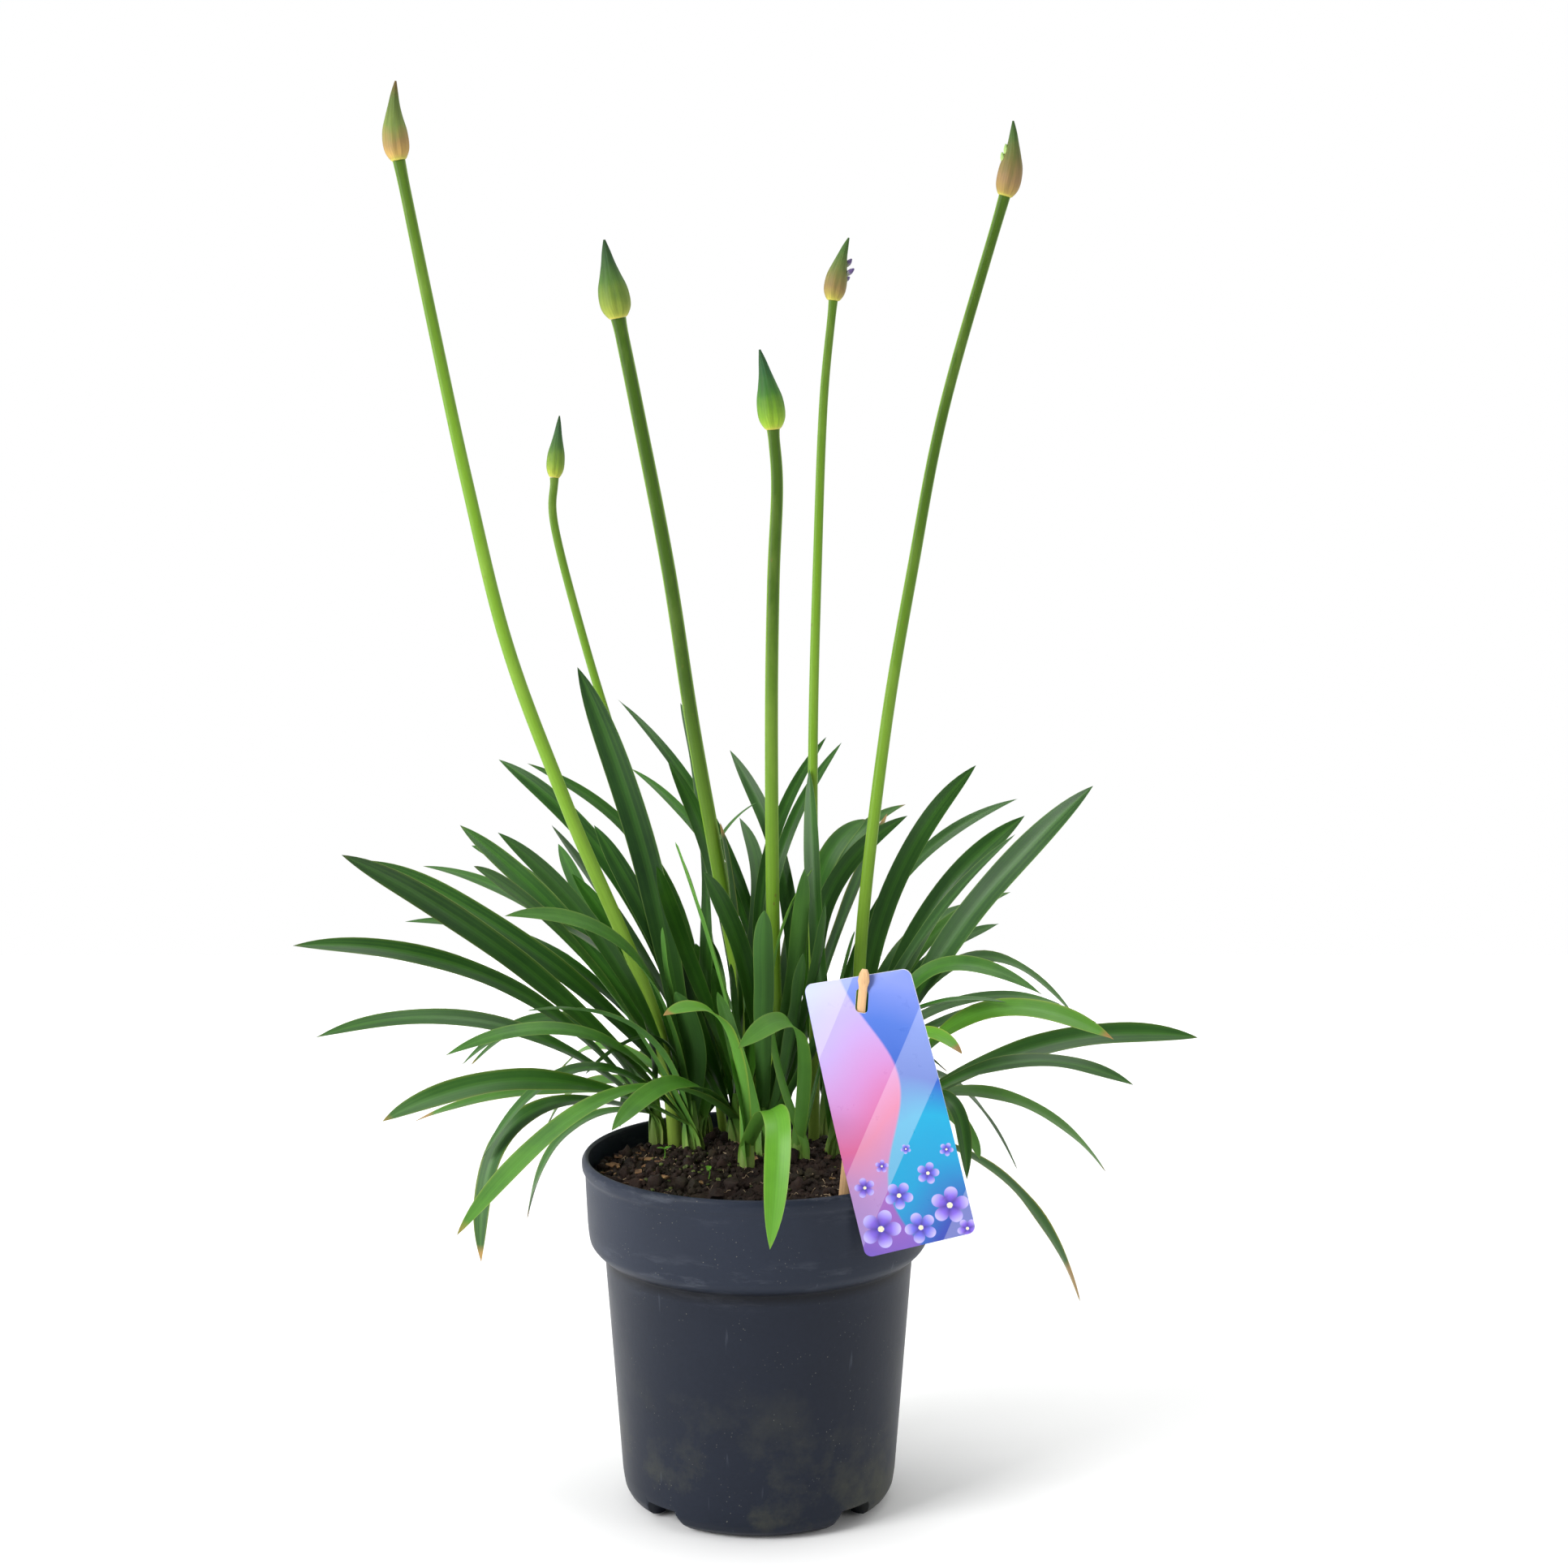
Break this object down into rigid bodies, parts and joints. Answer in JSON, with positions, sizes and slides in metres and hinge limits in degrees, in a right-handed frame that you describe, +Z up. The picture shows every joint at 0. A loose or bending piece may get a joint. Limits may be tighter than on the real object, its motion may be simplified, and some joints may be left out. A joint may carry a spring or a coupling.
{
  "type": "agapanthus plant",
  "caption": "Agapanthus in a nursery pot: arching strap leaves in leafy shoots, tall bare stems with closed buds, soil, and a label card on a bamboo stick.",
  "frame": {"origin": "on the surface the pot stands on, under the middle of the whole plant, which is the pot's own axis", "axes": "+Z up along the pot's axis and the flower stems; -Y towards the label, which is the pictured side; +X to its right"},
  "size_m": [0.4869, 0.332, 0.7531],
  "materials": {
    "pot": "anthracite injection-moulded plastic, semi-matt, lightly scuffed",
    "soil": "damp dark peat with bark crumbs, fully matt",
    "card": "printed plastic label with a plain colour-field design, satin",
    "bamboo": "raw bamboo with fine lengthwise grain",
    "stem": "smooth living flower stem, light yellow-green, satin",
    "spathe": "papery bud sheath, green to olive with a yellow foot",
    "leaf": "living strap leaf, mid to dark green, satin, lengthwise veins"
  },
  "bodies": {
    "root": {"pot": "pot", "soil": "soil", "label_card": "card", "label_stick": "bamboo", "scape_1": "stem", "scape_2": "stem", "scape_3": "stem", "scape_4": "stem", "scape_5": "stem", "scape_6": "stem", "bud_1": "spathe", "bud_2": "spathe", "bud_3": "spathe", "bud_4": "spathe", "bud_5": "spathe", "bud_6": "spathe", "shoot_a": "leaf", "shoot_b": "leaf", "shoot_c": "leaf", "shoot_d": "leaf", "shoot_e": "leaf", "shoot_f": "leaf", "shoot_g": "leaf", "shoot_h": "leaf", "shoot_i": "leaf", "shoot_j": "leaf", "shoot_k": "leaf", "shoot_l": "leaf"}
  },
  "joints": []
}
